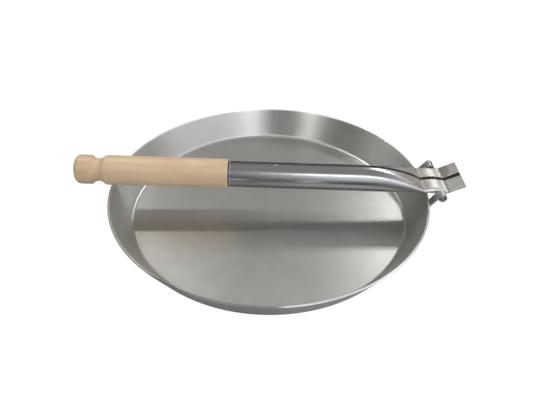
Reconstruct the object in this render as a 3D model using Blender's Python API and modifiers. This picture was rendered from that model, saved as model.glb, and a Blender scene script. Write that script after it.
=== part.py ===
# A shallow steel frying pan whose wood-gripped handle folds across it.
# Metres, +Z up. The origin is the middle of the pan's underside and +X points to the hinge.
# The model stands folded: the grip rests on the rim across from the hinge.

import math

import bmesh
import bpy
from mathutils import Matrix, Vector

# Pan: one pressed sheet with a flared wall, its rim cut square to the sheet
RIM_RADIUS = 0.200
PAN_HEIGHT = 0.0398
PAN_SHEET = 0.0022
WALL_FLARE = math.radians(29.5)  # of the wall from upright
FLOOR_FILLET = 0.006  # inside radius between floor and wall
RIM_ROUND = 0.0004

# Hinge pin
PIN_DIAMETER = 0.0045
PIN_OUTSIDE_RIM = 0.0105
PIN_ABOVE_RIM = 0.0083
PIN_RECESS = 0.0005  # of its ends inside the eyes
PIN_CHAMFER = 0.0005

# Hinge straps: strips that lie on the outer wall and curl round the pin above the rim
STRAP_WIDTH = 0.012
STRAP_SHEET = 0.0022
STRAP_LEG = 0.024  # on the wall, below the rim
CURL_LIP_GAP = 0.0005  # between the curl's free end and its own strap

# Handle socket: one sheet rolled to a tube, pressed flat at the hinge. Places count from the pin.
TUBE_DIAMETER = 0.033
TUBE_SHEET = 0.0012
LAYER_GAP = 0.0003  # between the two layers where the tube is flat
SEAM_GAP = 0.0018  # along the tube
SEAM_GAP_AT_TIP = 0.0032  # where pressing has opened the seam
SEAM_TURN = math.radians(13)  # of the seam behind the tube's top line
SEAM_STRAIGHT_TO_PIN = 0.031  # the seam keeps its side up to here
SEAM_MIDDLE_TO_PIN = 0.014  # and is in the middle from here
MOUTH_TO_PIN = 0.262
PRESS_START_TO_PIN = 0.095  # the tube is round up to here
PRESS_END_TO_PIN = 0.0225  # and flat from here
BARREL_BEHIND_PIN = 0.0188  # creases on both sides of the bulge round the pin
BARREL_AHEAD_OF_PIN = 0.0088
BARREL_ROOM = 0.00015  # over the running fit, above and below the pin
CREASE_RIDGE = 0.0004  # raised by the press along both creases
TONGUE_LENGTH = 0.0230  # past the front crease
TONGUE_BEND = 0.004  # length over which the tongue turns up
TONGUE_LIFT = math.radians(28)

# Wooden grip
GRIP_DIAMETER = 0.037
GRIP_LENGTH = 0.1892  # outside the tube
TENON_LENGTH = 0.072
TENON_CHAMFER = 0.0015
SHOULDER_ROUND = 0.001
COVE_TO_END = 0.0285  # the cove's middle from the knob's end
COVE_RADIUS = 0.0111
COVE_DEPTH = 0.0044
KNOB_DIAMETER = 0.0363
KNOB_ROUND = 0.0065
KNOB_DOME = 0.0012  # height of the crowned end

# Nail through the tube into the tenon
NAIL_TO_TENON_END = 0.0134
NAIL_TURN = math.radians(-9)  # from the tube's top line, to the front
NAIL_HEAD_DIAMETER = 0.0034
NAIL_HEAD_HEIGHT = 0.0008
NAIL_DIAMETER = 0.0018
NAIL_LENGTH = 0.012
NAIL_POINT = 0.002

# Clearances
RUNNING_FIT = 0.0002  # round the pin, in the handle
EYE_PLAY = 0.0007  # round the pin, in the loosely curled eyes
SEAT_GAP = 0.0003  # between pieces that rest on each other
SIDE_PLAY = 0.0007  # between the handle and each strap

# Facets
PAN_STEPS = 96
GRIP_STEPS = 40
PIN_STEPS = 24
NAIL_STEPS = 12
ARC_STEP = math.radians(15)  # of turned rounds and curls
SHEET_COLUMNS = 40  # round the socket's section

# Sizes that follow from the ones above
WALL_SLOPE = math.tan(WALL_FLARE)
RIM_EDGE = PAN_HEIGHT - PAN_SHEET * math.sin(WALL_FLARE)  # height of the rim's outer edge
PIN_RADIUS = PIN_DIAMETER / 2
PIN_CENTRE = Vector((RIM_RADIUS + PIN_OUTSIDE_RIM, 0, PAN_HEIGHT + PIN_ABOVE_RIM))
TUBE_MEAN = (TUBE_DIAMETER - TUBE_SHEET) / 2  # middle of the sheet
FLAT_MEAN = (TUBE_SHEET + LAYER_GAP) / 2  # half the layers' distance where flat
PIN_MEAN = PIN_RADIUS + RUNNING_FIT + BARREL_ROOM + TUBE_SHEET / 2
SHEET_WIDTH = 2 * math.pi * TUBE_MEAN - SEAM_GAP  # developed width of the socket
TIP = BARREL_AHEAD_OF_PIN + TONGUE_LENGTH


def wall_radius(z):
    return RIM_RADIUS - (RIM_EDGE - z) * WALL_SLOPE


def seam_gap(s):
    opened = max(0.0, (s + PRESS_START_TO_PIN) / (TIP + PRESS_START_TO_PIN))
    return SEAM_GAP + opened * (SEAM_GAP_AT_TIP - SEAM_GAP)


def half_flat(s, mean):
    return (SHEET_WIDTH + seam_gap(s) - 2 * math.pi * mean) / 4


HANDLE_HALF_WIDTH = half_flat(TIP, FLAT_MEAN) + FLAT_MEAN + TUBE_SHEET / 2
STRAP_INNER = HANDLE_HALF_WIDTH + SIDE_PLAY
STRAP_OUTER = STRAP_INNER + STRAP_WIDTH


def folded_tilt():
    # The handle's axis runs through the pin and clears the far rim by the grip's radius
    rim_x = -(RIM_RADIUS - PAN_SHEET * math.cos(WALL_FLARE)) - PIN_CENTRE.x
    reach = math.hypot(rim_x, PIN_ABOVE_RIM)
    return math.asin((GRIP_DIAMETER / 2 + SEAT_GAP) / reach) - math.atan2(PIN_ABOVE_RIM, -rim_x)


# Scene helpers


def make_collection(name):
    collection = bpy.data.collections.new(name)
    bpy.context.scene.collection.children.link(collection)
    return collection


def make_material(name, colour, roughness, metallic):
    material = bpy.data.materials.new(name)
    material.use_nodes = True
    shader = material.node_tree.nodes["Principled BSDF"]
    shader.inputs["Base Color"].default_value = (*colour, 1)
    shader.inputs["Roughness"].default_value = roughness
    shader.inputs["Metallic"].default_value = metallic
    return material


def make_object(name, mesh, collection, material=None, parent=None):
    made = bpy.data.objects.new(name, mesh)
    collection.objects.link(made)
    made.parent = parent
    if material:
        mesh.materials.append(material)
    return made


def make_mesh(name, points, edges=(), faces=()):
    mesh = bpy.data.meshes.new(name)
    mesh.from_pydata([tuple(point) for point in points], list(edges), list(faces))
    mesh.update()
    return mesh


def make_cylinder(name, radius, length, steps):
    mesh = bpy.data.meshes.new(name)
    shape = bmesh.new()
    bmesh.ops.create_cone(shape, cap_ends=True, segments=steps, radius1=radius, radius2=radius, depth=length)
    shape.to_mesh(mesh)
    shape.free()
    return mesh


def smooth(mesh, angle=math.radians(35)):
    mesh.shade_smooth()
    mesh.set_sharp_from_angle(angle=angle)


def as_cutter(cutter):
    cutter.hide_render = True
    cutter.display_type = "WIRE"
    return cutter


def cut(target, cutter):
    boolean = target.modifiers.new(cutter.name, "BOOLEAN")
    boolean.operation = "DIFFERENCE"
    boolean.solver = "EXACT"
    boolean.object = cutter


# Outlines


def arc_points(centre, radius, start, sweep):
    steps = max(2, math.ceil(abs(sweep) / ARC_STEP))
    angles = [start + sweep * i / steps for i in range(steps + 1)]
    return [(centre[0] + radius * math.cos(a), centre[1] + radius * math.sin(a)) for a in angles]


def rounded(corners):
    # Corners are (r, z, radius). A radius of zero leaves the corner sharp.
    points = []
    for i, (x, z, radius) in enumerate(corners):
        if not radius:
            points.append((x, z))
            continue
        here = Vector((x, z))
        back = (Vector(corners[i - 1][:2]) - here).normalized()
        on = (Vector(corners[i + 1][:2]) - here).normalized()
        half = math.acos(max(-1.0, min(1.0, back.dot(on)))) / 2
        first = here + back * radius / math.tan(half)
        last = here + on * radius / math.tan(half)
        centre = here + (back + on).normalized() * radius / math.sin(half)
        start = math.atan2(first.y - centre.y, first.x - centre.x)
        end = math.atan2(last.y - centre.y, last.x - centre.x)
        sweep = (end - start + math.pi) % (2 * math.pi) - math.pi
        points += arc_points(centre, radius, start, sweep)
    return points


def turned(name, outline, steps, collection, material, parent=None):
    # A closed turned body: the outline starts and ends on the axis
    points = [(r, 0, z) for r, z in outline]
    edges = [(i, i + 1) for i in range(len(points) - 1)]
    body = make_object(name, make_mesh(name, points, edges), collection, material, parent)
    screw = body.modifiers.new("turn", "SCREW")
    screw.axis = "Z"
    screw.steps = screw.render_steps = steps
    screw.use_merge_vertices = True
    screw.merge_threshold = 0.00001
    screw.use_smooth_shade = True
    return body


def sheet(name, rows, thickness, collection, material, parent=None):
    # A bent strip of metal: a grid of points on the sheet's middle, then its thickness
    columns = len(rows[0])
    points = [point for row in rows for point in row]
    faces = [
        (r * columns + c, r * columns + c + 1, (r + 1) * columns + c + 1, (r + 1) * columns + c)
        for r in range(len(rows) - 1)
        for c in range(columns - 1)
    ]
    mesh = make_mesh(name, points, faces=faces)
    smooth(mesh)
    body = make_object(name, mesh, collection, material, parent)
    solidify = body.modifiers.new("thickness", "SOLIDIFY")
    solidify.thickness = thickness
    solidify.offset = 0
    solidify.use_even_offset = True
    return body


# Sub-parts


def make_pan(collection, material):
    slant_sheet = PAN_SHEET / math.cos(WALL_FLARE)
    outline = rounded(
        [
            (0, PAN_SHEET, 0),
            (wall_radius(PAN_SHEET) - slant_sheet, PAN_SHEET, FLOOR_FILLET),
            (RIM_RADIUS - PAN_SHEET * math.cos(WALL_FLARE), PAN_HEIGHT, RIM_ROUND),
            (RIM_RADIUS, RIM_EDGE, RIM_ROUND),
            (wall_radius(0), 0, FLOOR_FILLET + PAN_SHEET),
            (0, 0, 0),
        ]
    )
    turned("pan", outline, PAN_STEPS, collection, material)


def strap_line(y):
    # Middle of the strap at one distance from the handle: up the wall, then over the pin and round it
    beside_wall = (SEAT_GAP + STRAP_SHEET / 2) / math.cos(WALL_FLARE)
    curl = PIN_RADIUS + EYE_PLAY + STRAP_SHEET / 2
    leg_steps = 3
    line = []
    for i in range(leg_steps + 1):
        z = RIM_EDGE - STRAP_LEG * math.cos(WALL_FLARE) * (1 - i / leg_steps)
        line.append(((wall_radius(z) + beside_wall) ** 2 - y * y, z))
    line = [(math.sqrt(square), z) for square, z in line]
    to_pin = Vector((PIN_CENTRE.x - line[-1][0], PIN_CENTRE.z - line[-1][1]))
    rise = math.atan2(to_pin.y, to_pin.x) + math.asin(curl / to_pin.length)
    spare = math.acos((curl - STRAP_SHEET / 2 - CURL_LIP_GAP) / (curl + STRAP_SHEET / 2))
    touch = rise + math.pi / 2
    line += arc_points((PIN_CENTRE.x, PIN_CENTRE.z), curl, touch, -(2 * math.pi - spare))
    return [(x, y, z) for x, z in line]


def make_strap(name, side, collection, material):
    width_steps = 3
    lines = [strap_line(side * (STRAP_INNER + STRAP_WIDTH * i / width_steps)) for i in range(width_steps + 1)]
    sheet(name, lines, STRAP_SHEET, collection, material)


def make_pin(collection, material):
    length = 2 * (STRAP_OUTER - PIN_RECESS)
    mesh = make_cylinder("hinge_pin", PIN_RADIUS, length, PIN_STEPS)
    smooth(mesh)
    pin = make_object("hinge_pin", mesh, collection, material)
    pin.location = PIN_CENTRE
    pin.rotation_euler = (math.pi / 2, 0, 0)
    bevel = pin.modifiers.new("chamfer", "BEVEL")
    bevel.width = PIN_CHAMFER
    bevel.segments = 1
    bevel.limit_method = "ANGLE"


def socket_height(s):
    # Half the height of the socket's section, to the middle of its sheet
    if s <= -PRESS_START_TO_PIN:
        return TUBE_MEAN
    if s <= -PRESS_END_TO_PIN:
        pressed = (s + PRESS_START_TO_PIN) / (PRESS_START_TO_PIN - PRESS_END_TO_PIN)
        return FLAT_MEAN + (TUBE_MEAN - FLAT_MEAN) * (1 - pressed**2)
    if -BARREL_BEHIND_PIN < s < BARREL_AHEAD_OF_PIN:
        length = BARREL_BEHIND_PIN + BARREL_AHEAD_OF_PIN

        def arch(at):
            return 1 - (2 * (at + BARREL_BEHIND_PIN) / length - 1) ** 2

        return FLAT_MEAN + (PIN_MEAN - FLAT_MEAN) * arch(s) / arch(0)
    return FLAT_MEAN


def socket_point(s, along, mean):
    # A point of the section, a given way round it from the middle of its top
    flat = half_flat(s, mean)
    fold = math.pi * mean
    along %= 4 * flat + 2 * fold
    if along <= flat:
        return along, mean
    if along <= flat + fold:
        turn = (along - flat) / mean
        return flat + mean * math.sin(turn), mean * math.cos(turn)
    if along <= 3 * flat + fold:
        return 2 * flat + fold - along, -mean
    if along <= 3 * flat + 2 * fold:
        turn = (along - 3 * flat - fold) / mean
        return -flat - mean * math.sin(turn), -mean * math.cos(turn)
    return along - 4 * flat - 2 * fold, mean


def socket_ways(s, mean, start, end):
    # Places round the section, spread half by length and half by turning, so that tight folds stay round
    flat = half_flat(s, mean)
    fold = math.pi * mean
    round_all = 4 * flat + 2 * fold
    knots = [0]
    for piece in (flat, fold, 2 * flat, fold, flat):
        knots.append(knots[-1] + piece)
    turns = [0, 0, 0.5, 0.5, 1, 1]
    shares = [(knot / round_all + turn) / 2 for knot, turn in zip(knots, turns)]
    knots += [knot + round_all for knot in knots[1:]]
    shares += [share + 1 for share in shares[1:]]

    def between(value, xs, ys):
        for i in range(len(xs) - 1):
            if xs[i] <= value <= xs[i + 1] and xs[i] < xs[i + 1]:
                return ys[i] + (ys[i + 1] - ys[i]) * (value - xs[i]) / (xs[i + 1] - xs[i])
        return ys[-1]

    first, last = between(start, knots, shares), between(end, knots, shares)
    inner = [first + (last - first) * i / SHEET_COLUMNS for i in range(1, SHEET_COLUMNS)]
    return [start] + [between(share, shares, knots) for share in inner] + [end]


def tongue_bend(s):
    # (x, z, angle) of the socket's middle line, which turns up about the front crease
    start = BARREL_AHEAD_OF_PIN - TONGUE_BEND / 2
    if s <= start:
        return s, 0.0, 0.0
    radius = TONGUE_BEND / TONGUE_LIFT
    angle = TONGUE_LIFT * min(1.0, (s - start) / TONGUE_BEND)
    straight = max(0.0, s - start - TONGUE_BEND)
    x = start + radius * math.sin(angle) + straight * math.cos(angle)
    return x, radius * (1 - math.cos(angle)) + straight * math.sin(angle), angle


def socket_row(s):
    mean = socket_height(s)
    if s in (-BARREL_BEHIND_PIN, BARREL_AHEAD_OF_PIN):
        mean += CREASE_RIDGE
    moved = min(1.0, max(0.0, (s + SEAM_STRAIGHT_TO_PIN) / (SEAM_STRAIGHT_TO_PIN - SEAM_MIDDLE_TO_PIN)))
    seam = SEAM_TURN * TUBE_MEAN * (1 - moved * moved * (3 - 2 * moved))
    start = seam + seam_gap(s) / 2
    x, z, angle = tongue_bend(s)
    row = []
    for along in socket_ways(s, mean, start, start + SHEET_WIDTH):
        across, up = socket_point(s, along, mean)
        row.append((x - up * math.sin(angle), across, z + up * math.cos(angle)))
    return row


def spread(start, end, count):
    return [start + (end - start) * i / count for i in range(1, count + 1)]


def make_socket(collection, material, pivot):
    stations = [-MOUTH_TO_PIN, -PRESS_START_TO_PIN]
    stations += spread(-PRESS_START_TO_PIN, -PRESS_END_TO_PIN, 12)
    stations += spread(-PRESS_END_TO_PIN, -BARREL_BEHIND_PIN, 2)
    stations += spread(-BARREL_BEHIND_PIN, BARREL_AHEAD_OF_PIN, 12)
    stations += spread(BARREL_AHEAD_OF_PIN, BARREL_AHEAD_OF_PIN + TONGUE_BEND / 2, 2)
    stations += spread(BARREL_AHEAD_OF_PIN + TONGUE_BEND / 2, TIP, 3)
    rows = [socket_row(s) for s in stations]
    return sheet("handle_socket", rows, TUBE_SHEET, collection, material, pivot)


def make_grip(collection, material, pivot):
    # Turned on local Z, from the knob's end down to the tenon. Local zero is the tube's mouth.
    radius = GRIP_DIAMETER / 2
    knob = KNOB_DIAMETER / 2
    tenon = TUBE_DIAMETER / 2 - TUBE_SHEET - SEAT_GAP
    cove = GRIP_LENGTH - COVE_TO_END
    cove_centre = (radius - COVE_DEPTH + COVE_RADIUS, cove)
    knob_side = math.acos((cove_centre[0] - knob) / COVE_RADIUS)
    grip_side = math.acos((cove_centre[0] - radius) / COVE_RADIUS)
    end = rounded(
        [
            (0, GRIP_LENGTH, 0),
            (knob, GRIP_LENGTH - KNOB_DOME, KNOB_ROUND),
            (knob, cove, 0),
        ]
    )[:-1]
    hollow = arc_points(cove_centre, COVE_RADIUS, math.pi - knob_side, knob_side + grip_side)
    root = rounded(
        [
            (radius, cove, 0),
            (radius, SEAT_GAP, SHOULDER_ROUND),
            (tenon, SEAT_GAP, 0),
            (tenon, TENON_CHAMFER - TENON_LENGTH, 0),
            (tenon - TENON_CHAMFER, -TENON_LENGTH, 0),
            (0, -TENON_LENGTH, 0),
        ]
    )[1:]
    grip = turned("wooden_grip", end + hollow + root, GRIP_STEPS, collection, material, pivot)
    grip.location = (-MOUTH_TO_PIN, 0, 0)
    grip.rotation_euler = (0, -math.pi / 2, 0)
    return grip


def nail_place(depth):
    # Local Z points out of the tube along the nail. Depth counts in from the tube's surface.
    outward = Vector((0, math.sin(NAIL_TURN), math.cos(NAIL_TURN)))
    place = Vector((TENON_LENGTH - NAIL_TO_TENON_END - MOUTH_TO_PIN, 0, 0)) + outward * (TUBE_DIAMETER / 2 - depth)
    return Matrix.Translation(place) @ Matrix.Rotation(-NAIL_TURN, 4, "X")


def make_nail(collection, material, pivot):
    head = NAIL_HEAD_DIAMETER / 2
    shank = NAIL_DIAMETER / 2
    crown = NAIL_HEAD_HEIGHT / 2
    outline = [
        (0, NAIL_HEAD_HEIGHT),
        (head / 2, NAIL_HEAD_HEIGHT - crown / 4),
        (head, crown),
        (head, 0),
        (shank, 0),
        (shank, NAIL_POINT - NAIL_LENGTH),
        (0, -NAIL_LENGTH),
    ]
    nail = turned("grip_nail", outline, NAIL_STEPS, collection, material, pivot)
    nail.matrix_local = nail_place(-SEAT_GAP)


def make_cutters(collection, pivot):
    hole = PIN_RADIUS + RUNNING_FIT
    mesh = make_cylinder("pin_hole_cutter", hole, 2 * STRAP_OUTER, PIN_STEPS)
    pin_hole = as_cutter(make_object("pin_hole_cutter", mesh, collection, None, pivot))
    pin_hole.rotation_euler = (math.pi / 2, 0, 0)
    deep = NAIL_LENGTH + NAIL_DIAMETER
    mesh = make_cylinder("nail_hole_cutter", NAIL_DIAMETER / 2 + SEAT_GAP, 2 * deep, NAIL_STEPS)
    nail_hole = as_cutter(make_object("nail_hole_cutter", mesh, collection, None, pivot))
    nail_hole.matrix_local = nail_place(0)
    return pin_hole, nail_hole


def main():
    for old in list(bpy.data.objects):
        bpy.data.objects.remove(old)
    parts = make_collection("folding_frying_pan")
    cutters = make_collection("cutters")
    pan_steel = make_material("brushed_pan_steel", (0.55, 0.55, 0.53), 0.3, 1)
    hinge_steel = make_material("hinge_steel", (0.58, 0.57, 0.55), 0.35, 1)
    tube_steel = make_material("polished_tube_steel", (0.56, 0.56, 0.56), 0.2, 1)
    nail_steel = make_material("nail_steel", (0.6, 0.6, 0.6), 0.3, 1)
    beech = make_material("turned_beech", (0.68, 0.5, 0.34), 0.55, 0)

    make_pan(parts, pan_steel)
    make_strap("front_hinge_strap", -1, parts, hinge_steel)
    make_strap("rear_hinge_strap", 1, parts, hinge_steel)
    make_pin(parts, hinge_steel)

    pivot = make_object("handle_pivot", None, parts)
    pivot.location = PIN_CENTRE
    pivot.rotation_euler = (0, folded_tilt(), 0)
    pin_hole, nail_hole = make_cutters(cutters, pivot)
    socket = make_socket(parts, tube_steel, pivot)
    grip = make_grip(parts, beech, pivot)
    make_nail(parts, nail_steel, pivot)
    cut(socket, pin_hole)
    cut(socket, nail_hole)
    cut(grip, nail_hole)


main()
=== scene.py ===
import math

import bpy
import numpy as np
from mathutils import Matrix, Vector


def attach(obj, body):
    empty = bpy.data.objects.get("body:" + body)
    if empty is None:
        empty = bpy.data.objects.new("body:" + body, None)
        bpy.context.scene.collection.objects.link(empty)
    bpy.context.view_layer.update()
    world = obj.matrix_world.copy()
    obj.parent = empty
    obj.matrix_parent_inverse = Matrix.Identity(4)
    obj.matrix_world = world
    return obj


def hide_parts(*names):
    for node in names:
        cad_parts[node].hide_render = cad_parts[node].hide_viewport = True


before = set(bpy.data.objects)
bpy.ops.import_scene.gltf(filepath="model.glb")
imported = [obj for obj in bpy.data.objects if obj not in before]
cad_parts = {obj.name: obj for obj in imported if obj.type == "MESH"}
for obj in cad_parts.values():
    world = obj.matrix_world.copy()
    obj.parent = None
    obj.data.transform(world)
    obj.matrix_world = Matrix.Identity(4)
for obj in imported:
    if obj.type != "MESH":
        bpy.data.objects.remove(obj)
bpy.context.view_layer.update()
print("solids loaded:", len(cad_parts), "nodes")

# the photograph's camera, worked out from the rim, the floor's edge and the hinge
shot = {
    "lens": 32.572,
    "spot": (-0.00014, -0.50985, 0.41947),
    "pitch": 39.276,
    "roll": 1.166,
    "turn": -0.883,
}


def addObject(name, data):
    made = bpy.data.objects.new(name, data)
    bpy.context.scene.collection.objects.link(made)
    return made


def placeCamera():
    pitch, roll = math.radians(shot["pitch"]), math.radians(shot["roll"])
    forward = Vector((0, math.cos(pitch), -math.sin(pitch)))
    up = Vector((0, math.sin(pitch), math.cos(pitch)))
    right = Vector((1, 0, 0))
    across = right * math.cos(roll) + up * math.sin(roll)
    upward = up * math.cos(roll) - right * math.sin(roll)
    look = Matrix((across, upward, -forward)).transposed()
    look = Matrix.Rotation(math.radians(shot["turn"]), 3, "Z") @ look
    data = bpy.data.cameras.new("photoCamera")
    data.lens = shot["lens"]
    data.sensor_width = 36
    data.clip_start = 0.01
    camera = addObject("photoCamera", data)
    camera.matrix_world = Matrix.Translation(shot["spot"]) @ look.to_4x4()
    bpy.context.scene.camera = camera


placeCamera()
print("camera placed")


# one socket, so that shader maths reads as plain expressions
class Sock:
    def __init__(self, finish, socket):
        self.finish = finish
        self.socket = socket

    def math(self, operation, *values):
        return self.finish.node("ShaderNodeMath", {"operation": operation}, dict(enumerate(values)))

    def __add__(self, other):
        return self.math("ADD", self, other)

    def __radd__(self, other):
        return self.math("ADD", other, self)

    def __sub__(self, other):
        return self.math("SUBTRACT", self, other)

    def __rsub__(self, other):
        return self.math("SUBTRACT", other, self)

    def __mul__(self, other):
        return self.math("MULTIPLY", self, other)

    def __rmul__(self, other):
        return self.math("MULTIPLY", other, self)

    def __truediv__(self, other):
        return self.math("DIVIDE", self, other)

    def __pow__(self, other):
        return self.math("POWER", self, other)

    def __abs__(self):
        return self.math("ABSOLUTE", self)


# one node tree, and short ways to add to it
class Finish:
    def __init__(self, tree):
        self.tree = tree

    # makes any node: settings first, then its sockets by name or number
    def node(self, kind, settings=None, sockets=None, out=0):
        made = self.tree.nodes.new(kind)
        for key, value in (settings or {}).items():
            setattr(made, key, value)
        for key, value in (sockets or {}).items():
            self.fill(self.findInput(made, key), value)
        live = [o for o in made.outputs if o.enabled]
        if not live:
            return made
        return Sock(self, live[out] if isinstance(out, int) else made.outputs[out])

    def findInput(self, made, key):
        if isinstance(key, int):
            return made.inputs[key]
        return next(i for i in made.inputs if i.name == key and i.enabled)

    def fill(self, socket, value):
        if isinstance(value, Sock):
            self.tree.links.new(value.socket, socket)
        else:
            socket.default_value = value

    def objectCoords(self):
        return self.node("ShaderNodeTexCoord", out="Object")

    def axis(self, vector, name):
        return self.node("ShaderNodeSeparateXYZ", None, {"Vector": vector}, out=name)

    def mix(self, amount, first, second, blend="MIX"):
        settings = {"data_type": "RGBA", "blend_type": blend}
        return self.node("ShaderNodeMix", settings, {"Factor": amount, "A": first, "B": second})

    def noise(self, vector, scale, detail=3.0, rough=0.5, distort=0.0):
        sockets = {"Vector": vector, "Scale": scale, "Detail": detail}
        sockets.update({"Roughness": rough, "Distortion": distort})
        return self.node("ShaderNodeTexNoise", None, sockets)

    # noise drawn out along an axis, with a scale for each way
    def streaks(self, vector, scales, detail=3.0, rough=0.6, distort=0.0):
        drawn = self.node("ShaderNodeVectorMath", {"operation": "MULTIPLY"}, {0: vector, 1: scales})
        return self.noise(drawn, 1.0, detail, rough, distort)

    # maps one span of values to another and clamps
    def span(self, value, low, high, outLow=0.0, outHigh=1.0):
        sockets = {"Value": value, "From Min": low, "From Max": high, "To Min": outLow, "To Max": outHigh}
        return self.node("ShaderNodeMapRange", {"clamp": True}, sockets)

    def bump(self, height, strength, distance=0.0004):
        sockets = {"Strength": strength, "Distance": distance, "Height": height}
        return self.node("ShaderNodeBump", None, sockets)

    def principled(self, sockets):
        return self.node("ShaderNodeBsdfPrincipled", None, sockets)

    def blend(self, amount, first, second):
        return self.node("ShaderNodeMixShader", None, {0: amount, 1: first, 2: second})

    def seal(self, shader):
        self.node("ShaderNodeOutputMaterial", None, {"Surface": shader})


def newFinish(name):
    material = bpy.data.materials.new(name)
    material.use_nodes = True
    material.node_tree.nodes.clear()
    return material, Finish(material.node_tree)


# the hinge pin's place, and the room left between close pieces
fold = {"pin": (0.2105, 0.0, 0.0481), "gap": 0.0003}


# how far the handle tilts when its grip lies on the far rim
def foldedTilt():
    sheetAcross = panSizes["sheet"] * math.cos(math.radians(panSizes["flare"]))
    farRim = fold["pin"][0] + panSizes["rim"] - sheetAcross
    rimAbove = panSizes["height"] - fold["pin"][2]
    reach = math.hypot(farRim, rimAbove)
    return math.asin((gripSizes["radius"] + fold["gap"]) / reach) + math.atan2(rimAbove, farRim)


# the handle's own axes: x along the tube with the pin at zero, laid flat by taking out the folded tilt
def handleMatrix():
    return Matrix.Translation(fold["pin"]) @ Matrix.Rotation(foldedTilt(), 4, "Y")


def handleCoords(finish):
    back = handleMatrix().inverted()
    sockets = {"Vector": finish.objectCoords()}
    sockets.update({"Location": back.translation, "Rotation": back.to_euler("XYZ")})
    return finish.node("ShaderNodeMapping", {"vector_type": "POINT"}, sockets)


# where painted shade darkens the rim, to the side and in depth, and where the wall begins
panMarks = {"rimShadeAside": (0.008, 0.018), "rimShadeDepth": (-0.165, -0.15), "wallFoot": (0.004, 0.007)}
panColours = {
    "dark": (0.55, 0.55, 0.52, 1),
    "light": (0.60, 0.598, 0.57, 1),
    "blotch": (0.65, 0.645, 0.615, 1),
    "brushed": (0.48, 0.48, 0.455, 1),
    # the rim's bright colour is a painted highlight on its cut edge; the colour after it is painted shade
    # on the rim at the front left
    "rim": (0.86, 0.855, 0.835, 1),
    "shadedRim": (0.33, 0.328, 0.315, 1),
}


# satin steel: one broad soft gloss, a little uneven, with faint brushing
def panFinish():
    c, m = panColours, panMarks
    material, finish = newFinish("satinPanSteel")
    place = finish.objectCoords()
    aside, depth, height = (finish.axis(place, way) for way in "XYZ")
    cloud = finish.span(finish.noise(place, 14.0, 4.0, 0.55), 0.3, 0.7)
    blotch = finish.span(finish.noise(place, 55.0), 0.35, 0.75)
    grain = finish.noise(place, 900.0, 3.0, 0.6)
    brushed = finish.streaks(place, (60.0, 2600.0, 600.0))
    tint = finish.mix(cloud, c["dark"], c["light"])
    tint = finish.mix(blotch * 0.45, tint, c["blotch"])
    tint = finish.mix(finish.span(brushed, 0.3, 0.7) * 0.4, tint, c["brushed"])
    # the rim's cut edge gets a painted highlight, and painted shade at the front left
    onRim = finish.span(height, rimEdge() - panSizes["rimRound"], rimEdge())
    rimShadeMask = finish.span(aside, *m["rimShadeAside"], 1.0, 0.0) * finish.span(depth, *m["rimShadeDepth"], 1.0, 0.0)
    tint = finish.mix(onRim, tint, finish.mix(rimShadeMask, c["rim"], c["shadedRim"]))
    rough = 0.33 + cloud * 0.03 + finish.span(grain, 0.3, 0.7) * 0.03
    bump = finish.bump(brushed + grain * 0.4, 0.15)
    sockets = {"Base Color": tint, "Metallic": 1.0, "Roughness": rough, "Normal": bump}
    floor = finish.principled(sockets)
    # the wall was spun, so its gloss runs up and down it; the cut rim is plain
    wall = finish.principled({**sockets, "Anisotropic": 0.85, "Anisotropic Rotation": 0.25})
    finish.seal(finish.blend(finish.span(height, *m["wallFoot"]) - onRim, floor, wall))
    return material


hingeColours = {"dark": (0.40, 0.375, 0.365, 1), "light": (0.62, 0.60, 0.595, 1)}


def hingeFinish():
    material, finish = newFinish("plainHingeSteel")
    place = finish.objectCoords()
    mottle = finish.noise(place, 160.0, 4.0, 0.6)
    grain = finish.noise(place, 1400.0, 2.0)
    tint = finish.mix(finish.span(mottle, 0.35, 0.68), hingeColours["dark"], hingeColours["light"])
    rough = 0.3 + finish.span(mottle, 0.3, 0.7) * 0.12 + grain * 0.05
    bump = finish.bump(mottle + grain * 0.4, 0.12, 0.0005)
    sockets = {"Base Color": tint, "Metallic": 1.0, "Roughness": rough, "Normal": bump}
    finish.seal(finish.principled(sockets))
    return material


tubeColours = {
    "drawnDark": (0.325, 0.33, 0.325, 1),
    "drawnLight": (0.405, 0.408, 0.405, 1),
    "smudge": (0.39, 0.395, 0.41, 1),
    # the worked colours are lighter, partly for the pressed finish and partly as painted light on the hinge
    "workedLitDark": (0.54, 0.515, 0.48, 1),
    "workedLitLight": (0.70, 0.68, 0.645, 1),
    "tongue": (0.46, 0.44, 0.405, 1),
    # the next colour darkens bands beside the seam and paints shade on the tube's underside
    "scale": (0.12, 0.118, 0.112, 1),
    # a painted highlight on the crease's ridge and on the barrel's lip, then painted shade in the crease's
    # valley
    "foldHighlight": (0.88, 0.865, 0.83, 1),
    "valleyShade": (0.2, 0.19, 0.172, 1),
    # painted shade on the seam's edges: along the tube, where it is pressed, and on the tongue
    "seamGapShade": (0.09, 0.088, 0.082, 1),
    "pressedGapShade": (0.30, 0.25, 0.19, 1),
    "tongueGapShade": (0.085, 0.085, 0.078, 1),
    # a painted highlight on the tube's cut edge, then painted shade in the line at its mouth
    "cutEdgeHighlight": (0.8, 0.79, 0.77, 1),
    "mouth": (0.05, 0.047, 0.042, 1),
    # painted shade on the rear side of the tongue, then painted shade in the barrel lip's thin fold
    "tongueShade": (0.27, 0.255, 0.235, 1),
    "fold": (0.2, 0.185, 0.165, 1),
}

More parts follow.
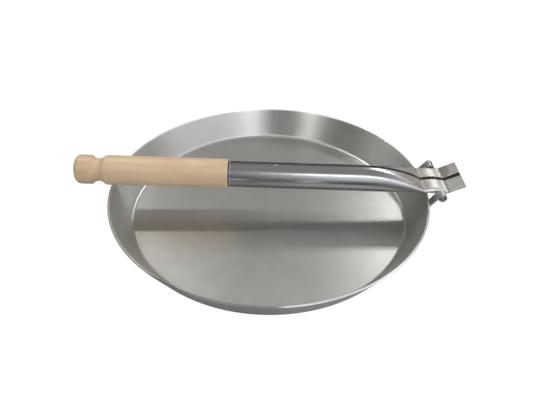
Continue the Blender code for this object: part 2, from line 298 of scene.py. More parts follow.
# where the tube is marked and where its painted highlights and shade lie, counted along the handle from the
# pin, and across it from the middle
tubeMarks = {
    "pressed": (-0.08, -0.018),
    "tongue": (0.0095, 0.0115),
    "tongueGapShade": (0.008, 0.012),
    "seamAside": 0.0037,
    "ridgeHighlight": 0.0073,
    "valleyShade": 0.0106,
    "tongueShade": (0.0125, 0.016),
    "tongueShadeRadius": (0.0062, 0.0076),
    "tongueShadeStart": (0.0098, 0.0108),
    "tongueShadeSide": (0.001, 0.0016),
    "barrelRear": (-0.019, -0.016),
    "barrelFront": (0.006, 0.009),
    "lipHighlight": (-0.0228, -0.0222),
    "lipFoldShade": (-0.0222, -0.0216),
}


# darker bands beside the seam, darkest behind it, and painted shade on the underside
def seamBandsAndUnderShade(finish, beside, up):
    behind = finish.span(beside, -0.001, 0.0)
    scale = finish.span(beside, 0.003, 0.0065, 0.7, 0.0) * behind
    scale = scale + finish.span(beside, -0.0068, -0.002, 0.0, 0.42) * (1.0 - behind)
    return scale * finish.span(up, 0.0, 0.002) + finish.span(up, -0.009, 0.001, 0.2, 0.0)


# the crease before the tongue: an uneven painted highlight on the ridge, then painted shade in the valley
def creaseHighlightAndShade(finish, tint, along, uneven):
    ridgeHighlight = finish.span(abs(along - tubeMarks["ridgeHighlight"]), 0.001, 0.0022, 0.8, 0.0) * uneven
    valleyShade = finish.span(abs(along - tubeMarks["valleyShade"]), 0.0004, 0.0014, 0.6, 0.0)
    tint = finish.mix(ridgeHighlight, tint, tubeColours["foldHighlight"])
    return finish.mix(valleyShade, tint, tubeColours["valleyShade"])


# painted shade in a dark line at the tube's mouth by the wood, and a painted highlight on the cut edge
# behind it
def mouthShadeAndHighlight(finish, tint, fromMouth):
    tint = finish.mix(finish.span(fromMouth, 0.0024, 0.003, 0.6, 0.0), tint, tubeColours["cutEdgeHighlight"])
    return finish.mix(finish.span(fromMouth, 0.001, 0.0014, 1.0, 0.0), tint, tubeColours["mouth"])


# painted shade on the rear side of the tongue, and a painted highlight on the barrel's front lip below
# painted shade in its thin fold
def hingeShadeAndHighlight(finish, tint, along, across):
    c, m = tubeColours, tubeMarks
    ahead, aside = along - m["tongueShade"][0], across - m["tongueShade"][1]
    fromTongueShade = (ahead * ahead + aside * aside * 0.25) ** 0.5
    tongueShade = finish.span(fromTongueShade, *m["tongueShadeRadius"], 0.7, 0.0) * finish.span(across, *m["tongueShadeSide"])
    tint = finish.mix(tongueShade * finish.span(along, *m["tongueShadeStart"]), tint, c["tongueShade"])
    onBarrel = finish.span(along, *m["barrelRear"]) * finish.span(along, *m["barrelFront"], 1.0, 0.0)
    lipHighlight = finish.span(across, *m["lipHighlight"], 1.0, 0.0) * onBarrel
    lipFoldShade = finish.span(across, *m["lipFoldShade"], 1.0, 0.0) * onBarrel - lipHighlight
    tint = finish.mix(lipFoldShade * 0.6, tint, c["fold"])
    return finish.mix(lipHighlight, tint, c["foldHighlight"])


# bright drawn sheet with faint streaks along the tube, duller where the press has worked it
def tubeFinish():
    k, c, m = socketSizes, tubeColours, tubeMarks
    material, finish = newFinish("brightTubeSteel")
    place = handleCoords(finish)
    along, across, up = (finish.axis(place, way) for way in "XYZ")
    drawn = finish.streaks(place, (9.0, 1500.0, 1500.0))
    smudge = finish.streaks(place, (30.0, 110.0, 110.0), 4.0)
    smudged = finish.span(smudge, 0.35, 0.7)
    grain = finish.noise(place, 1600.0, 2.0)
    pressed = finish.span(along, *m["pressed"])
    plain = finish.mix(finish.span(drawn, 0.3, 0.7), c["drawnDark"], c["drawnLight"])
    plain = finish.mix(finish.span(smudge, 0.45, 0.75) * 0.5, plain, c["smudge"])
    # the pressed part takes the worked colours: its own finish, lightened by painted light
    tint = finish.mix(pressed, plain, finish.mix(smudged, c["workedLitDark"], c["workedLitLight"]))
    tint = finish.mix(finish.span(along, *m["tongue"], 0.0, 0.5), tint, c["tongue"])
    beside = across - finish.span(along, k["seamStraight"], k["seamMiddle"], m["seamAside"], 0.0)
    # darker bands beside the seam, and painted shade on the underside
    tint = finish.mix(seamBandsAndUnderShade(finish, beside, up) * (1.0 - pressed), tint, c["scale"])
    tint = creaseHighlightAndShade(finish, tint, along, finish.span(grain + smudge * 0.5, 0.5, 0.85, 0.3, 1.0))
    # painted shade on the seam's edges: dark along the seam, brown where it is pressed and dark again on
    # the tongue
    halfGap = finish.span(along, k["pressStart"], k["tip"], k["seam"] / 2, k["tipSeam"] / 2)
    gapShadeWidth = finish.span(pressed, 0.0, 1.0, 0.0014, 0.0007)
    seamEdgeShade = finish.span(abs(beside) - halfGap, 0.0002, gapShadeWidth, 1.0, 0.0)
    edge = finish.mix(pressed, c["seamGapShade"], c["pressedGapShade"])
    edge = finish.mix(finish.span(along, *m["tongueGapShade"]), edge, c["tongueGapShade"])
    tint = finish.mix(seamEdgeShade, tint, edge)
    tint = mouthShadeAndHighlight(finish, tint, along - k["mouth"])
    tint = hingeShadeAndHighlight(finish, tint, along, across)
    rough = 0.2 + smudged * 0.05 + pressed * 0.24 + seamEdgeShade * 0.35
    bump = finish.bump(drawn + grain * 0.3, 0.015)
    sockets = {"Base Color": tint, "Metallic": 1.0, "Roughness": rough, "Normal": bump}
    finish.seal(finish.principled(sockets))
    return material


nailColours = {"dark": (0.40, 0.40, 0.41, 1), "light": (0.55, 0.55, 0.56, 1)}


def nailFinish():
    material, finish = newFinish("brightNailSteel")
    scuff = finish.noise(finish.objectCoords(), 1800.0, 3.0, 0.6)
    tint = finish.mix(finish.span(scuff, 0.35, 0.65), nailColours["dark"], nailColours["light"])
    sockets = {"Base Color": tint, "Metallic": 1.0, "Roughness": 0.36 + scuff * 0.15}
    finish.seal(finish.principled(sockets))
    return material


# where the wood changes along the handle
beechMarks = {"cove": (-0.41, -0.34), "handled": (-0.44, -0.36)}
beechColours = {
    "darkBand": (0.785, 0.56, 0.33, 1),
    "lightBand": (0.86, 0.65, 0.415, 1),
    "drift": (0.76, 0.505, 0.33, 1),
    "fibre": (0.67, 0.47, 0.30, 1),
    "fleck": (0.46, 0.29, 0.175, 1),
    "cove": (0.88, 0.71, 0.43, 1),
    "handled": (0.86, 0.80, 0.76, 1),
}


# pale beech: soft bands along the grip, fine fibres and short darker flecks
def beechFinish():
    c, m = beechColours, beechMarks
    material, finish = newFinish("turnedBeech")
    place = handleCoords(finish)
    along = finish.axis(place, "X")
    drift = finish.streaks(place, (22.0, 70.0, 70.0), 3.0, 0.55)
    bands = finish.streaks(place, (5.0, 240.0, 150.0), 3.0, 0.55, 0.6)
    fibre = finish.streaks(place, (45.0, 2400.0, 2400.0))
    fleck = finish.streaks(place, (260.0, 2300.0, 2300.0), 1.0, 0.4)
    tint = finish.mix(finish.span(bands, 0.33, 0.67), c["darkBand"], c["lightBand"])
    tint = finish.mix(finish.span(drift, 0.42, 0.66) * 0.75, tint, c["drift"])
    tint = finish.mix(finish.span(fibre, 0.42, 0.68) * 0.4, tint, c["fibre"])
    tint = finish.mix(finish.span(fleck, 0.64, 0.75) * 0.6, tint, c["fleck"])
    # yellower beside the cove, and darker from handling at the knob
    tint = finish.mix(finish.span(along, *m["cove"], 0.5, 0.0), tint, c["cove"])
    tint = finish.mix(finish.span(along, *m["handled"], 1.0, 0.0), tint, c["handled"], "MULTIPLY")
    rough = 0.5 + finish.span(fibre, 0.3, 0.7) * 0.1
    bump = finish.bump(fibre - fleck * 0.4, 0.03)
    sockets = {"Base Color": tint, "Metallic": 0.0, "Roughness": rough, "Normal": bump}
    sockets.update({"Coat Weight": 0.5, "Coat Roughness": 0.4})
    sockets.update({"Sheen Weight": 0.5, "Sheen Roughness": 0.3})
    finish.seal(finish.principled(sockets))
    return material


# pieces


def addPiece(name, mesh, material, node, body):
    mesh.materials.clear()
    mesh.materials.append(material)
    piece = addObject(name, mesh)
    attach(piece, body)
    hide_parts(node)
    print(name, "made:", len(mesh.polygons), "faces")
    return piece


def arc(centre, radius, start, sweep, count):
    angles = start + sweep * np.linspace(0, 1, count)
    return np.stack([centre[0] + radius * np.cos(angles), centre[1] + radius * np.sin(angles)], 1)


# turns corners (r, z, radius) into an outline with rounds
def softOutline(corners, count):
    points = []
    for i, (r, z, radius) in enumerate(corners):
        here = np.array((r, z))
        if not radius:
            points.append(here[None])
            continue
        back = np.array(corners[i - 1][:2]) - here
        on = np.array(corners[i + 1][:2]) - here
        back, on = back / np.linalg.norm(back), on / np.linalg.norm(on)
        half = math.acos(np.clip(back @ on, -1, 1)) / 2
        first = here + back * radius / math.tan(half)
        last = here + on * radius / math.tan(half)
        middle = (back + on) / np.linalg.norm(back + on)
        centre = here + middle * radius / math.sin(half)
        start = math.atan2(*(first - centre)[::-1])
        end = math.atan2(*(last - centre)[::-1])
        sweep = (end - start + math.pi) % (2 * math.pi) - math.pi
        points.append(arc(centre, radius, start, sweep, count))
    return np.concatenate(points)


# adds points on the long straight runs of an outline
def filled(outline, step):
    points = [outline[:1]]
    for a, b in zip(outline[:-1], outline[1:]):
        count = max(1, math.ceil(np.linalg.norm(b - a) / step))
        points.append(a + (b - a) * np.linspace(0, 1, count + 1)[1:, None])
    return np.concatenate(points)


# the lathe: a node tree that turns the object's own outline round Z
def latheTree():
    tree = bpy.data.node_groups.new("lathe", "GeometryNodeTree")
    inlets = {
        "Outline": "NodeSocketGeometry",
        "Steps": "NodeSocketInt",
        "Points": "NodeSocketInt",
        "Material": "NodeSocketMaterial",
    }
    for name, kind in inlets.items():
        tree.interface.new_socket(name, in_out="INPUT", socket_type=kind)
    tree.interface.new_socket("Turned", in_out="OUTPUT", socket_type="NodeSocketGeometry")
    finish = Finish(tree)
    outline, steps, points, material = (finish.node("NodeGroupInput", out=name) for name in inlets)
    sockets = {"Size X": 1.0, "Size Y": 1.0, "Vertices X": steps + 1, "Vertices Y": points}
    grid = finish.node("GeometryNodeMeshGrid", None, sockets)
    index = finish.node("GeometryNodeInputIndex")
    turn = finish.node("ShaderNodeMath", {"operation": "FLOOR"}, {0: index / points})
    settings = {"data_type": "FLOAT_VECTOR", "domain": "POINT"}
    sockets = {"Geometry": outline, "Value": finish.node("GeometryNodeInputPosition")}
    sockets["Index"] = index - turn * points
    place = finish.node("GeometryNodeSampleIndex", settings, sockets)
    sockets = {"Vector": place, "Angle": turn * (2 * math.pi) / steps}
    spun = finish.node("ShaderNodeVectorRotate", {"rotation_type": "Z_AXIS"}, sockets)
    body = finish.node("GeometryNodeSetPosition", None, {"Geometry": grid, "Position": spun})
    body = finish.node("GeometryNodeMergeByDistance", None, {"Geometry": body, "Distance": 0.000002})
    body = finish.node("GeometryNodeRealizeInstances", None, {"Geometry": body})
    body = finish.node("GeometryNodeSetMaterial", None, {"Geometry": body, "Material": material})
    finish.node("NodeGroupOutput", None, {"Turned": body})
    return tree


lathe = latheTree()


# a plain mesh of what a blank's modifiers make, after which the blank is put away
def frozen(name, blank):
    seen = bpy.context.evaluated_depsgraph_get()
    mesh = bpy.data.meshes.new_from_object(blank.evaluated_get(seen), depsgraph=seen)
    blank.modifiers.clear()
    bpy.data.objects.remove(blank)
    mesh.name = name
    return mesh


def signedVolume(mesh):
    mesh.calc_loop_triangles()
    corners = np.empty(len(mesh.vertices) * 3)
    mesh.vertices.foreach_get("co", corners)
    corners = corners.reshape(-1, 3)
    triangles = np.empty(len(mesh.loop_triangles) * 3, int)
    mesh.loop_triangles.foreach_get("vertices", triangles)
    a, b, c = (corners[triangles.reshape(-1, 3)[:, i]] for i in range(3))
    return float(np.einsum("ij,ij->i", a, np.cross(b, c)).sum() / 6)


def faceOut(mesh):
    if signedVolume(mesh) < 0:
        mesh.flip_normals()


def softShade(mesh, sharp):
    mesh.shade_smooth()
    mesh.set_sharp_from_angle(angle=math.radians(sharp))


# runs the lathe on one outline and returns a plain mesh with its normals out
def turned(name, outline, steps, material, place=Matrix.Identity(4), sharp=40):
    rough = bpy.data.meshes.new(name + "Outline")
    rough.from_pydata([(r, 0, z) for r, z in outline], [(i, i + 1) for i in range(len(outline) - 1)], [])
    blank = addObject(name + "Blank", rough)
    modifier = blank.modifiers.new("lathe", "NODES")
    modifier.node_group = lathe
    sizes = {"Steps": steps, "Points": len(outline), "Material": material}
    for item in lathe.interface.items_tree:
        if item.name in sizes and item.in_out == "INPUT":
            modifier[item.identifier] = sizes[item.name]
    blank.update_tag()
    mesh = frozen(name, blank)
    mesh.transform(place)
    faceOut(mesh)
    softShade(mesh, sharp)
    return mesh


panSizes = {
    "rim": 0.2,
    "height": 0.0398,
    "sheet": 0.0022,
    "flare": 29.5,
    "fillet": 0.006,
    "rimRound": 0.0004,
    "roundPoints": 12,
    "rowStep": 0.012,
    "steps": 288,
}


# the rim is cut square to the sheet, so its outer edge lies a little lower
def rimEdge():
    return panSizes["height"] - panSizes["sheet"] * math.sin(math.radians(panSizes["flare"]))


def wallRadius(z):
    return panSizes["rim"] - (rimEdge() - z) * math.tan(math.radians(panSizes["flare"]))


def makePan():
    s = panSizes
    lean = math.cos(math.radians(s["flare"]))
    corners = [
        (0, s["sheet"], 0),
        (wallRadius(s["sheet"]) - s["sheet"] / lean, s["sheet"], s["fillet"]),
        (s["rim"] - s["sheet"] * lean, s["height"], s["rimRound"]),
        (s["rim"], rimEdge(), s["rimRound"]),
        (wallRadius(0), 0, s["fillet"] + s["sheet"]),
        (0, 0, 0),
    ]
    outline = filled(softOutline(corners, s["roundPoints"]), s["rowStep"])
    mesh = turned("pan", outline, s["steps"], panSteel)
    return addPiece("panBowl", mesh, panSteel, "pan", "pan_body")


pinSizes = {
    "radius": 0.00225,
    "half": 0.0377,
    "endRound": 0.0006,
    "room": 0.0002,
    "drill": 0.075,
    "roundPoints": 5,
    "steps": 48,
}


def pinPlace():
    return Matrix.Translation(fold["pin"]) @ Matrix.Rotation(math.pi / 2, 4, "X")


def makePin():
    s = pinSizes
    corners = [
        (0, s["half"], 0),
        (s["radius"], s["half"], s["endRound"]),
        (s["radius"], -s["half"], s["endRound"]),
        (0, -s["half"], 0),
    ]
    outline = softOutline(corners, s["roundPoints"])
    mesh = turned("hingePin", outline, s["steps"], hingeSteel, pinPlace())
    return addPiece("hingePin", mesh, hingeSteel, "hinge_pin", "pan_body")


strapSizes = {
    "inner": 0.0262,
    "width": 0.012,
    "sheet": 0.0022,
    "leg": 0.024,
    "play": 0.0007,
    "lipGap": 0.0005,
    "edge": 0.0004,
    "gap": 0.0003,
    "legPoints": 14,
    "runPoints": 7,
    "curlPoints": 56,
    "edgePoints": 5,
    "columns": 8,
    "sharp": 50,
}


# middle line of a strap at one distance from the handle: up the wall, over the pin and round it
def strapLine(y):
    s = strapSizes
    flare = math.radians(panSizes["flare"])
    beside = (s["gap"] + s["sheet"] / 2) / math.cos(flare)
    curl = pinSizes["radius"] + s["play"] + s["sheet"] / 2
    z = rimEdge() - s["leg"] * math.cos(flare) * np.linspace(1, 0, s["legPoints"])
    x = np.sqrt((wallRadius(z) + beside) ** 2 - y * y)
    pin = np.array((fold["pin"][0], fold["pin"][2]))
    toPin = pin - np.array((x[-1], z[-1]))
    reach = np.linalg.norm(toPin)
    rise = math.atan2(toPin[1], toPin[0]) + math.asin(curl / reach)
    spare = math.acos((curl - s["sheet"] / 2 - s["lipGap"]) / (curl + s["sheet"] / 2))
    run = math.sqrt(reach * reach - curl * curl)
    steps = np.linspace(0, 1, s["runPoints"])[1:-1] * run
    straight = np.stack([x[-1] + steps * math.cos(rise), z[-1] + steps * math.sin(rise)], 1)
    loop = arc(pin, curl, rise + math.pi / 2, -(2 * math.pi - spare), s["curlPoints"])
    return np.concatenate([np.stack([x, z], 1), straight, loop])


# closed outline of a flat strip's section, as places across it and out of it
def stripSection():
    s = strapSizes
    inset = np.array((s["width"], s["sheet"])) / 2 - s["edge"]
    rounds = []
    for start, signs in zip((0, 90, 180, 270), ((1, 1), (-1, 1), (-1, -1), (1, -1))):
        centre = np.array(signs) * inset
        rounds.append(arc(centre, s["edge"], math.radians(start), math.pi / 2, s["edgePoints"]))
    closed = np.concatenate(rounds + [rounds[0][:1]])
    return filled(closed, s["width"] / s["columns"])[:-1]


def gridIndex(grid):
    rows, columns = grid.shape[:2]
    return np.arange(rows * columns).reshape(rows, columns)


# quads between the closed rings of a grid of points
def ringFaces(index):
    a, b = index[:-1], index[1:]
    return np.stack([a, np.roll(a, -1, 1), np.roll(b, -1, 1), b], -1).reshape(-1, 4)


def makeStrap(name, node, side):
    s = strapSizes
    columns = []
    for across, out in stripSection():
        y = s["inner"] + s["width"] / 2 + across
        line = strapLine(y)
        along = np.gradient(line, axis=0)
        along /= np.linalg.norm(along, axis=1)[:, None]
        place = line + out * np.stack([-along[:, 1], along[:, 0]], 1)
        columns.append(np.stack([place[:, 0], np.full(len(place), side * y), place[:, 1]], 1))
    grid = np.stack(columns, 1)
    index = gridIndex(grid)
    faces = ringFaces(index).tolist() + [index[0][::-1].tolist(), index[-1].tolist()]
    mesh = bpy.data.meshes.new(name)
    mesh.from_pydata(grid.reshape(-1, 3).tolist(), [], faces)
    faceOut(mesh)
    softShade(mesh, s["sharp"])
    return addPiece(name, mesh, hingeSteel, node, "pan_body")


# one sheet: rolled to a tube, pressed flat at the hinge, bulged round the pin, its end turned up.
# Places count along the handle from the pin.
socketSizes = {
    "tube": 0.033,
    "sheet": 0.0012,
    "layerGap": 0.0003,
    "seam": 0.0018,
    "tipSeam": 0.0054,
    "seamTurn": 13,
    "seamStraight": -0.031,
    "seamMiddle": -0.014,
    "mouth": -0.262,
    "pressStart": -0.095,
    "pressEnd": -0.0197,
    "softEnd": -0.018,
    "softIn": 0.015,
    "softOut": 0.006,
    "softPasses": 14,
    "barrelStart": -0.0188,
    "barrelEnd": 0.0088,
    "pinRoom": 0.0026,
    "tip": 0.0318,
    "bend": 0.0014,
    "lift": 28,
    "edge": 0.00025,
    "ridges": ((-0.0188, 0.0003, 0.0005), (0.0072, 0.0012, 0.0017)),  # place, height, width
    "endRoom": 0.0006,
    "barrelIn": 0.002,
    "bendNear": 0.004,
    "columns": 150,
    "sharp": 55,
}


# from the socket's middle line to the middle of its upper layer
def socketHeight(along):
    k = socketSizes
    tube = (k["tube"] - k["sheet"]) / 2
    flat = (k["sheet"] + k["layerGap"]) / 2
    peak = k["pinRoom"] + k["sheet"] / 2
    if along <= k["pressStart"]:
        return tube
    if along <= k["pressEnd"]:
        pressed = (along - k["pressStart"]) / (k["pressEnd"] - k["pressStart"])
        return flat + (tube - flat) * (1 - pressed**2)
    if not k["barrelStart"] < along < k["barrelEnd"]:
        return flat

    def arch(at):
        return 1 - (2 * (at - k["barrelStart"]) / (k["barrelEnd"] - k["barrelStart"]) - 1) ** 2

    return flat + (peak - flat) * arch(along) / arch(0)


# middle line of the socket: (x, z, angle), turning up about the front crease
def socketLine(along):
    k = socketSizes
    lift, start = math.radians(k["lift"]), k["barrelEnd"] - k["bend"] / 2
    if along <= start:
        return along, 0.0, 0.0
    radius = k["bend"] / lift
    angle = lift * min(1.0, (along - start) / k["bend"])
    straight = max(0.0, along - start - k["bend"])
    x = start + radius * math.sin(angle) + straight * math.cos(angle)
    return x, radius * (1 - math.cos(angle)) + straight * math.sin(angle), angle


# ridges raised by the press along the creases
def ridgeHeight(along):
    return sum(high * math.exp(-(((along - at) / wide) ** 2)) for at, high, wide in socketSizes["ridges"])


# the sheet's middle round one section, seam edge to seam edge: two flat layers joined by two bows
def socketSection(along):
    k = socketSizes
    mean = socketHeight(along)
    tube = (k["tube"] - k["sheet"]) / 2
    width = 2 * math.pi * tube - k["seam"]
    opened = max(0.0, (along - k["pressStart"]) / (k["tip"] - k["pressStart"]))
    gap = k["seam"] + opened * (k["tipSeam"] - k["seam"])
    flat = (width + gap - 2 * math.pi * mean) / 4
    bow = math.pi * mean
    around = 4 * flat + 2 * bow
    moved = np.clip((along - k["seamStraight"]) / (k["seamMiddle"] - k["seamStraight"]), 0, 1)
    seam = math.radians(k["seamTurn"]) * tube * (1 - moved * moved * (3 - 2 * moved))
    start = seam + gap / 2
    # columns are shared out by length and by turn alike, so that a tight bow gets its part
    knots = np.cumsum([0, flat, bow, 2 * flat, bow, flat])
    shares = (knots / around + np.array([0, 0, 0.5, 0.5, 1, 1])) / 2
    knots = np.concatenate([knots, knots[1:] + around])
    shares = np.concatenate([shares, shares[1:] + 1])
    keep = np.concatenate([[True], np.diff(shares) > 1e-9])
    first, last = np.interp((start + k["edge"], start + width - k["edge"]), knots[keep], shares[keep])
    way = np.interp(np.linspace(first, last, k["columns"]), shares[keep], knots[keep])
    way = np.concatenate([[start], way, [start + width]]) % around
    parts = [way <= flat, way <= flat + bow, way <= 3 * flat + bow, way <= 3 * flat + 2 * bow]
    turn = np.select(
        parts,
        [0 * way, (way - flat) / mean, 0 * way + math.pi, math.pi + (way - 3 * flat - bow) / mean],
        2 * math.pi + 0 * way,
    )
    across = np.select(
        parts,
        [way, flat + mean * np.sin(turn), 2 * flat + bow - way, -flat + mean * np.sin(turn)],
        way - 4 * flat - 2 * bow,
    )
    up = mean * np.cos(turn) + np.clip(np.cos(turn), 0, 1) * ridgeHeight(along)  # ridges on the upper layer
    x, z, angle = socketLine(along)
    return np.stack([x - up * math.sin(angle), across, z + up * math.cos(angle)], 1)


# places of the sections along the socket, closest where the sheet bends most
def socketStations():
    k = socketSizes
    barrel = k["barrelStart"] + k["barrelIn"]
    bendFrom, bendTo = k["barrelEnd"] - k["bendNear"], k["barrelEnd"] + k["bendNear"]
    last = k["tip"] - k["endRoom"]
    runs = [
        (k["mouth"] + k["endRoom"], k["pressStart"], 24),
        (k["pressStart"], k["pressEnd"], 72),
        (k["pressEnd"], barrel, 18),
        (barrel, bendFrom, 44),
        (bendFrom, bendTo, 40),
        (bendTo, last, 14),
    ]
    stations = [np.linspace(a, b, count + 1)[:-1] for a, b, count in runs]
    return np.concatenate(stations + [[last]])


# the sheet's middle at every station, with a soft line between flat and bow where the press worked it
def socketMiddle(stations):
    k = socketSizes
    middle = np.stack([socketSection(along) for along in stations])
    soft = middle.copy()
    for _ in range(k["softPasses"]):
        soft[:, 1:-1] = (soft[:, :-2] + 2 * soft[:, 1:-1] + soft[:, 2:]) / 4
    worked = np.clip((stations - k["pressStart"]) / k["softIn"], 0, 1)
    worked *= np.clip((k["softEnd"] - stations) / k["softOut"], 0, 1)
    return middle + (soft - middle) * worked[:, None, None]


# the outer and the inner face of a sheet, joined to one closed ring at every station
def sheetRings(middle, half):
    normal = np.cross(np.gradient(middle, axis=0), np.gradient(middle, axis=1))
    normal /= np.linalg.norm(normal, axis=2)[:, :, None]
    outward = middle[0] - middle[0].mean(0)
    if (normal[0] * outward).sum() < 0:
        normal = -normal
    return np.concatenate([middle + normal * half, (middle - normal * half)[:, ::-1]], 1)


# a strip of quads between the outer and the inner face at each end
def endStrips(index):
    count = index.shape[1] // 2
    strips = []
    for row, turn in ((index[0], 1), (index[-1], -1)):
        outer, inner = row[:count], row[: count - 1 : -1]
        quads = np.stack([outer[:-1], inner[:-1], inner[1:], outer[1:]], -1)
        strips.append(quads[:, ::turn])
    return strips


def makeSocket():
    k = socketSizes
    bevel = k["edge"] * np.sin(np.radians((0, 30, 60, 90)))
    stations = np.concatenate([k["mouth"] + bevel, socketStations(), k["tip"] - bevel[::-1]])
    middle = socketMiddle(stations)
    # the sheet thins over its bevelled ends, and along the edges of the seam
    thinned = np.zeros(len(stations))
    thinned[:4], thinned[-4:] = k["edge"] - bevel, k["edge"] - bevel[::-1]
    trim = np.ones(middle.shape[1])
    trim[[0, -1]] = 1 - k["edge"] / (k["sheet"] / 2)
    half = (k["sheet"] / 2 - thinned)[:, None, None] * trim[None, :, None]
    grid = sheetRings(middle, half)
    index = gridIndex(grid)
    faces = np.concatenate([ringFaces(index)] + endStrips(index))
    mesh = bpy.data.meshes.new("handleSocket")
    mesh.from_pydata(grid.reshape(-1, 3).tolist(), [], faces.tolist())
    faceOut(mesh)
    mesh.transform(handleMatrix())
    mesh = drilled("handleSocket", mesh, [pinHole(), nailHole()])
    softShade(mesh, k["sharp"])
    return addPiece("handleSocket", mesh, tubeSteel, "handle_socket", "handle")


# cuts round holes and returns a plain mesh
def drilled(name, mesh, drills):
    blank = addObject(name + "Blank", mesh)
    for drill in drills:
        modifier = blank.modifiers.new(drill.name, "BOOLEAN")
        modifier.operation = "DIFFERENCE"
        modifier.solver = "EXACT"
        modifier.object = drill
    result = frozen(name, blank)
    for drill in drills:
        bpy.data.objects.remove(drill)
    return result


def makeDrill(name, radius, length, place, steps=40):
    corners = [(0, length / 2), (radius, length / 2), (radius, -length / 2), (0, -length / 2)]
    return addObject(name, turned(name, np.array(corners), steps, hingeSteel, place))


def pinHole():
    return makeDrill("pinDrill", pinSizes["radius"] + pinSizes["room"], pinSizes["drill"], pinPlace())


gripSizes = {
    "radius": 0.0185,
    "length": 0.1892,
    "tenon": 0.015,
    "tenonLength": 0.072,
    "tenonChamfer": 0.0015,
    "shoulder": 0.001,
    "coveToEnd": 0.0285,
    "coveRadius": 0.0111,
    "coveDepth": 0.0044,
    "coveKept": 0.8,  # share of the cove's grip side that is left as turned
    "sanded": 0.003,
    "knob": 0.01815,
    "knobRound": 0.0065,
    "dome": 0.0012,
    "knobPoints": 20,
    "covePoints": 28,
    "sandedPoints": 8,
    "shoulderPoints": 6,
    "rowStep": 0.006,
    "steps": 144,
    "sharp": 35,
}


# local Z runs along the grip to its knob, with zero at the tube's mouth
def gripPlace():
    mouth = Matrix.Translation((socketSizes["mouth"], 0, 0))
    return handleMatrix() @ mouth @ Matrix.Rotation(-math.pi / 2, 4, "Y")


def gripOutline():
    g = gripSizes
    cove = g["length"] - g["coveToEnd"]
    centre = (g["radius"] - g["coveDepth"] + g["coveRadius"], cove)
    knobSide = math.acos((centre[0] - g["knob"]) / g["coveRadius"])
    gripSide = math.acos((centre[0] - g["radius"]) / g["coveRadius"])
    corners = [
        (0, g["length"], 0),
        (g["knob"], g["length"] - g["dome"], g["knobRound"]),
        (g["knob"], cove, 0),
    ]
    knob = softOutline(corners, g["knobPoints"])
    sweep = knobSide + gripSide * g["coveKept"]
    hollow = arc(centre, g["coveRadius"], math.pi - knobSide, sweep, g["covePoints"])
    # the cove's edge to the grip is sanded over
    edge = np.array((g["radius"], cove - g["coveRadius"] * math.sin(gripSide)))
    last = edge - (0, g["sanded"])
    share = np.linspace(0, 1, g["sandedPoints"] + 1)[1:, None]
    sanded = hollow[-1] * (1 - share) ** 2 + edge * 2 * share * (1 - share) + last * share**2
    corners = [
        (g["radius"], last[1], 0),
        (g["radius"], fold["gap"], g["shoulder"]),
        (g["tenon"], fold["gap"], 0),
        (g["tenon"], g["tenonChamfer"] - g["tenonLength"], 0),
        (g["tenon"] - g["tenonChamfer"], -g["tenonLength"], 0),
        (0, -g["tenonLength"], 0),
    ]
    root = softOutline(corners, g["shoulderPoints"])
    return filled(np.concatenate([knob[:-1], hollow, sanded, root[1:]]), g["rowStep"])


def makeGrip():
    g = gripSizes
    mesh = turned("woodenGrip", gripOutline(), g["steps"], beech, gripPlace(), g["sharp"])
    mesh = drilled("woodenGrip", mesh, [nailHole()])
    softShade(mesh, g["sharp"])
    return addPiece("woodenGrip", mesh, beech, "wooden_grip", "handle")


nailSizes = {
    "toMouth": 0.0586,
    "turn": -9,
    "head": 0.0017,
    "height": 0.0008,
    "side": 0.45,  # share of the height below the crown
    "crownDrop": 0.0026,
    "crownTurn": 28,
    "crownRoom": 0.0001,
    "crownPoints": 8,
    "shank": 0.0009,
    "length": 0.012,
    "point": 0.002,
    "holeRoom": 0.0018,
    "steps": 40,
}


# local Z runs out of the tube along the nail, with zero on the tube's surface
def nailPlace(out):
    n = nailSizes
    turn = math.radians(n["turn"])
    radius = socketSizes["tube"] / 2 + out
    spot = (socketSizes["mouth"] + n["toMouth"], radius * math.sin(turn), radius * math.cos(turn))
    return handleMatrix() @ Matrix.Translation(spot) @ Matrix.Rotation(-turn, 4, "X")


def nailHole():
    n = nailSizes
    return makeDrill("nailDrill", n["shank"] + fold["gap"], 2 * (n["length"] + n["holeRoom"]), nailPlace(0))


def makeNail():
    n = nailSizes
    radius, sweep = n["height"] + n["crownDrop"], -math.radians(n["crownTurn"])
    crown = arc((0, -n["crownDrop"]), radius, math.pi / 2, sweep, n["crownPoints"])
    crown = crown[crown[:, 0] < n["head"] - n["crownRoom"]]
    rest = [
        (n["head"], n["height"] * n["side"]),
        (n["head"], 0),
        (n["shank"], 0),
        (n["shank"], n["point"] - n["length"]),
        (0, -n["length"]),
    ]
    outline = np.concatenate([crown, np.array(rest)])
    mesh = turned("gripNail", outline, n["steps"], nailSteel, nailPlace(fold["gap"]))
    return addPiece("gripNail", mesh, nailSteel, "grip_nail", "handle")


panSteel = panFinish()
hingeSteel = hingeFinish()
tubeSteel = tubeFinish()
nailSteel = nailFinish()
beech = beechFinish()
print("finishes ready")

makePan()
makeStrap("frontStrap", "front_hinge_strap", -1)
makeStrap("rearStrap", "rear_hinge_strap", 1)
makePin()
makeSocket()
makeGrip()
makeNail()


# plain pale floor and soft studio light

floorSettings = {"half": 4.0, "drop": 0.0004, "glow": 1.07, "matt": 0.06, "pale": 0.9, "grey": 0.45}


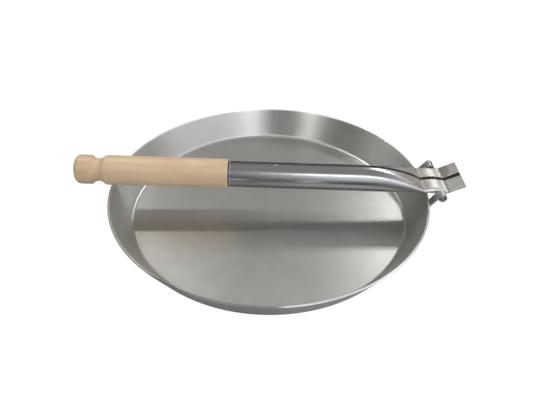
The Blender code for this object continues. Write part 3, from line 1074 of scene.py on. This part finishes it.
# white to the camera and grey to the steel, so that the pan has a table to mirror
def makeFloor():
    f = floorSettings
    mesh = bpy.data.meshes.new("floor")
    corners = [(x * f["half"], y * f["half"], -f["drop"]) for x, y in ((-1, -1), (1, -1), (1, 1), (-1, 1))]
    mesh.from_pydata(corners, [], [(0, 1, 2, 3)])
    material, finish = newFinish("paleFloor")
    glow = finish.node("ShaderNodeEmission", None, {"Color": (1, 1, 1, 1), "Strength": f["glow"]})
    pale, grey = (
        finish.node("ShaderNodeBsdfDiffuse", None, {"Color": (f[shade], f[shade], f[shade], 1)})
        for shade in ("pale", "grey")
    )
    direct = finish.node("ShaderNodeLightPath", out="Is Camera Ray")
    finish.seal(finish.blend(direct, grey, finish.blend(f["matt"], glow, pale)))
    mesh.materials.append(material)
    floor = addObject("floor", mesh)


# azimuth 0 lies behind the pan and 90 to its right
lampDistance = 2.5
lamps = {
    "backLeftLamp": {"azimuth": -46, "elevation": 53.7, "size": (0.14, 0.14), "power": 11.5},
    "backRightLamp": {"azimuth": 32, "elevation": 38.5, "size": (0.2, 0.2), "power": 7.5},
    "frontRightLamp": {
        "azimuth": 162,
        "elevation": 49,
        "size": (0.55, 0.6),
        "power": 4.4,
        "colour": (0.94, 0.96, 1.0),
    },
    "frontLeftLamp": {"azimuth": 218, "elevation": 46, "size": (0.2, 0.2), "power": 5.8},
    "rightLamp": {"azimuth": 88, "elevation": 44, "size": (0.9, 0.9), "power": 2.4},
}


def softbox(name, azimuth, elevation, size, power, colour=(1, 1, 1)):
    data = bpy.data.lights.new(name, "AREA")
    data.shape = "RECTANGLE"
    data.size, data.size_y = size
    data.energy = power
    data.color = colour
    a, e = math.radians(azimuth), math.radians(elevation)
    toward = Vector((math.sin(a) * math.cos(e), math.cos(a) * math.cos(e), math.sin(e)))
    light = addObject(name, data)
    light.location = toward * lampDistance
    light.rotation_mode = "QUATERNION"
    light.rotation_quaternion = toward.to_track_quat("Z", "Y")


# brightness by height, as spans from low to high
room = {
    "behind": (0.1, 0.85, 0.13, 0.46),
    "left": (0.1, 0.4, 0.36, 0.19),
    "right": (0.1, 0.45, 0.3, 0.66),
    "front": (0.3, 0.7, 0.2, 0.4),
    "windowFoot": (0.12, 0.4, 0.5, 1.0),
    "windowHead": (0.66, 0.75, 1.0, 0.0),
}
windowColour = (1.24, 1.29, 1.45, 1)


def makeWorld():
    world = bpy.data.worlds.new("studioRoom")
    bpy.context.scene.world = world
    world.use_nodes = True
    world.node_tree.nodes.clear()
    finish = Finish(world.node_tree)
    way = finish.node("ShaderNodeTexCoord", out="Generated")
    height = finish.axis(way, "Z")

    def facing(azimuth, low, high):
        side = math.radians(azimuth)
        sockets = {0: way, 1: (math.sin(side), math.cos(side), 0)}
        dot = finish.node("ShaderNodeVectorMath", {"operation": "DOT_PRODUCT"}, sockets, out="Value")
        return finish.span(dot, low, high)

    def level(name):
        return finish.span(height, *room[name])

    # lighter to the right, darker to the left and straight ahead
    shade = finish.mix(facing(90, -0.75, 0.0), level("left"), level("behind"))
    shade = finish.mix(facing(110, 0.3, 0.9), shade, level("right"))
    shade = finish.mix(facing(180, 0.4, 0.95), shade, level("front"))
    # a wide window to the front and right
    window = facing(90, 0.02, 0.14) * facing(190, -0.3, 0.75) * level("windowFoot") * level("windowHead")
    shade = finish.mix(1.0, shade, finish.mix(window, (0, 0, 0, 1), windowColour), "ADD")
    backdrop = finish.node("ShaderNodeBackground", None, {"Color": shade})
    finish.node("ShaderNodeOutputWorld", None, {"Surface": backdrop})


makeFloor()
makeWorld()
for lampName, lamp in lamps.items():
    softbox(lampName, **lamp)
bpy.context.scene.view_settings.view_transform = "Standard"
print("studio lit")
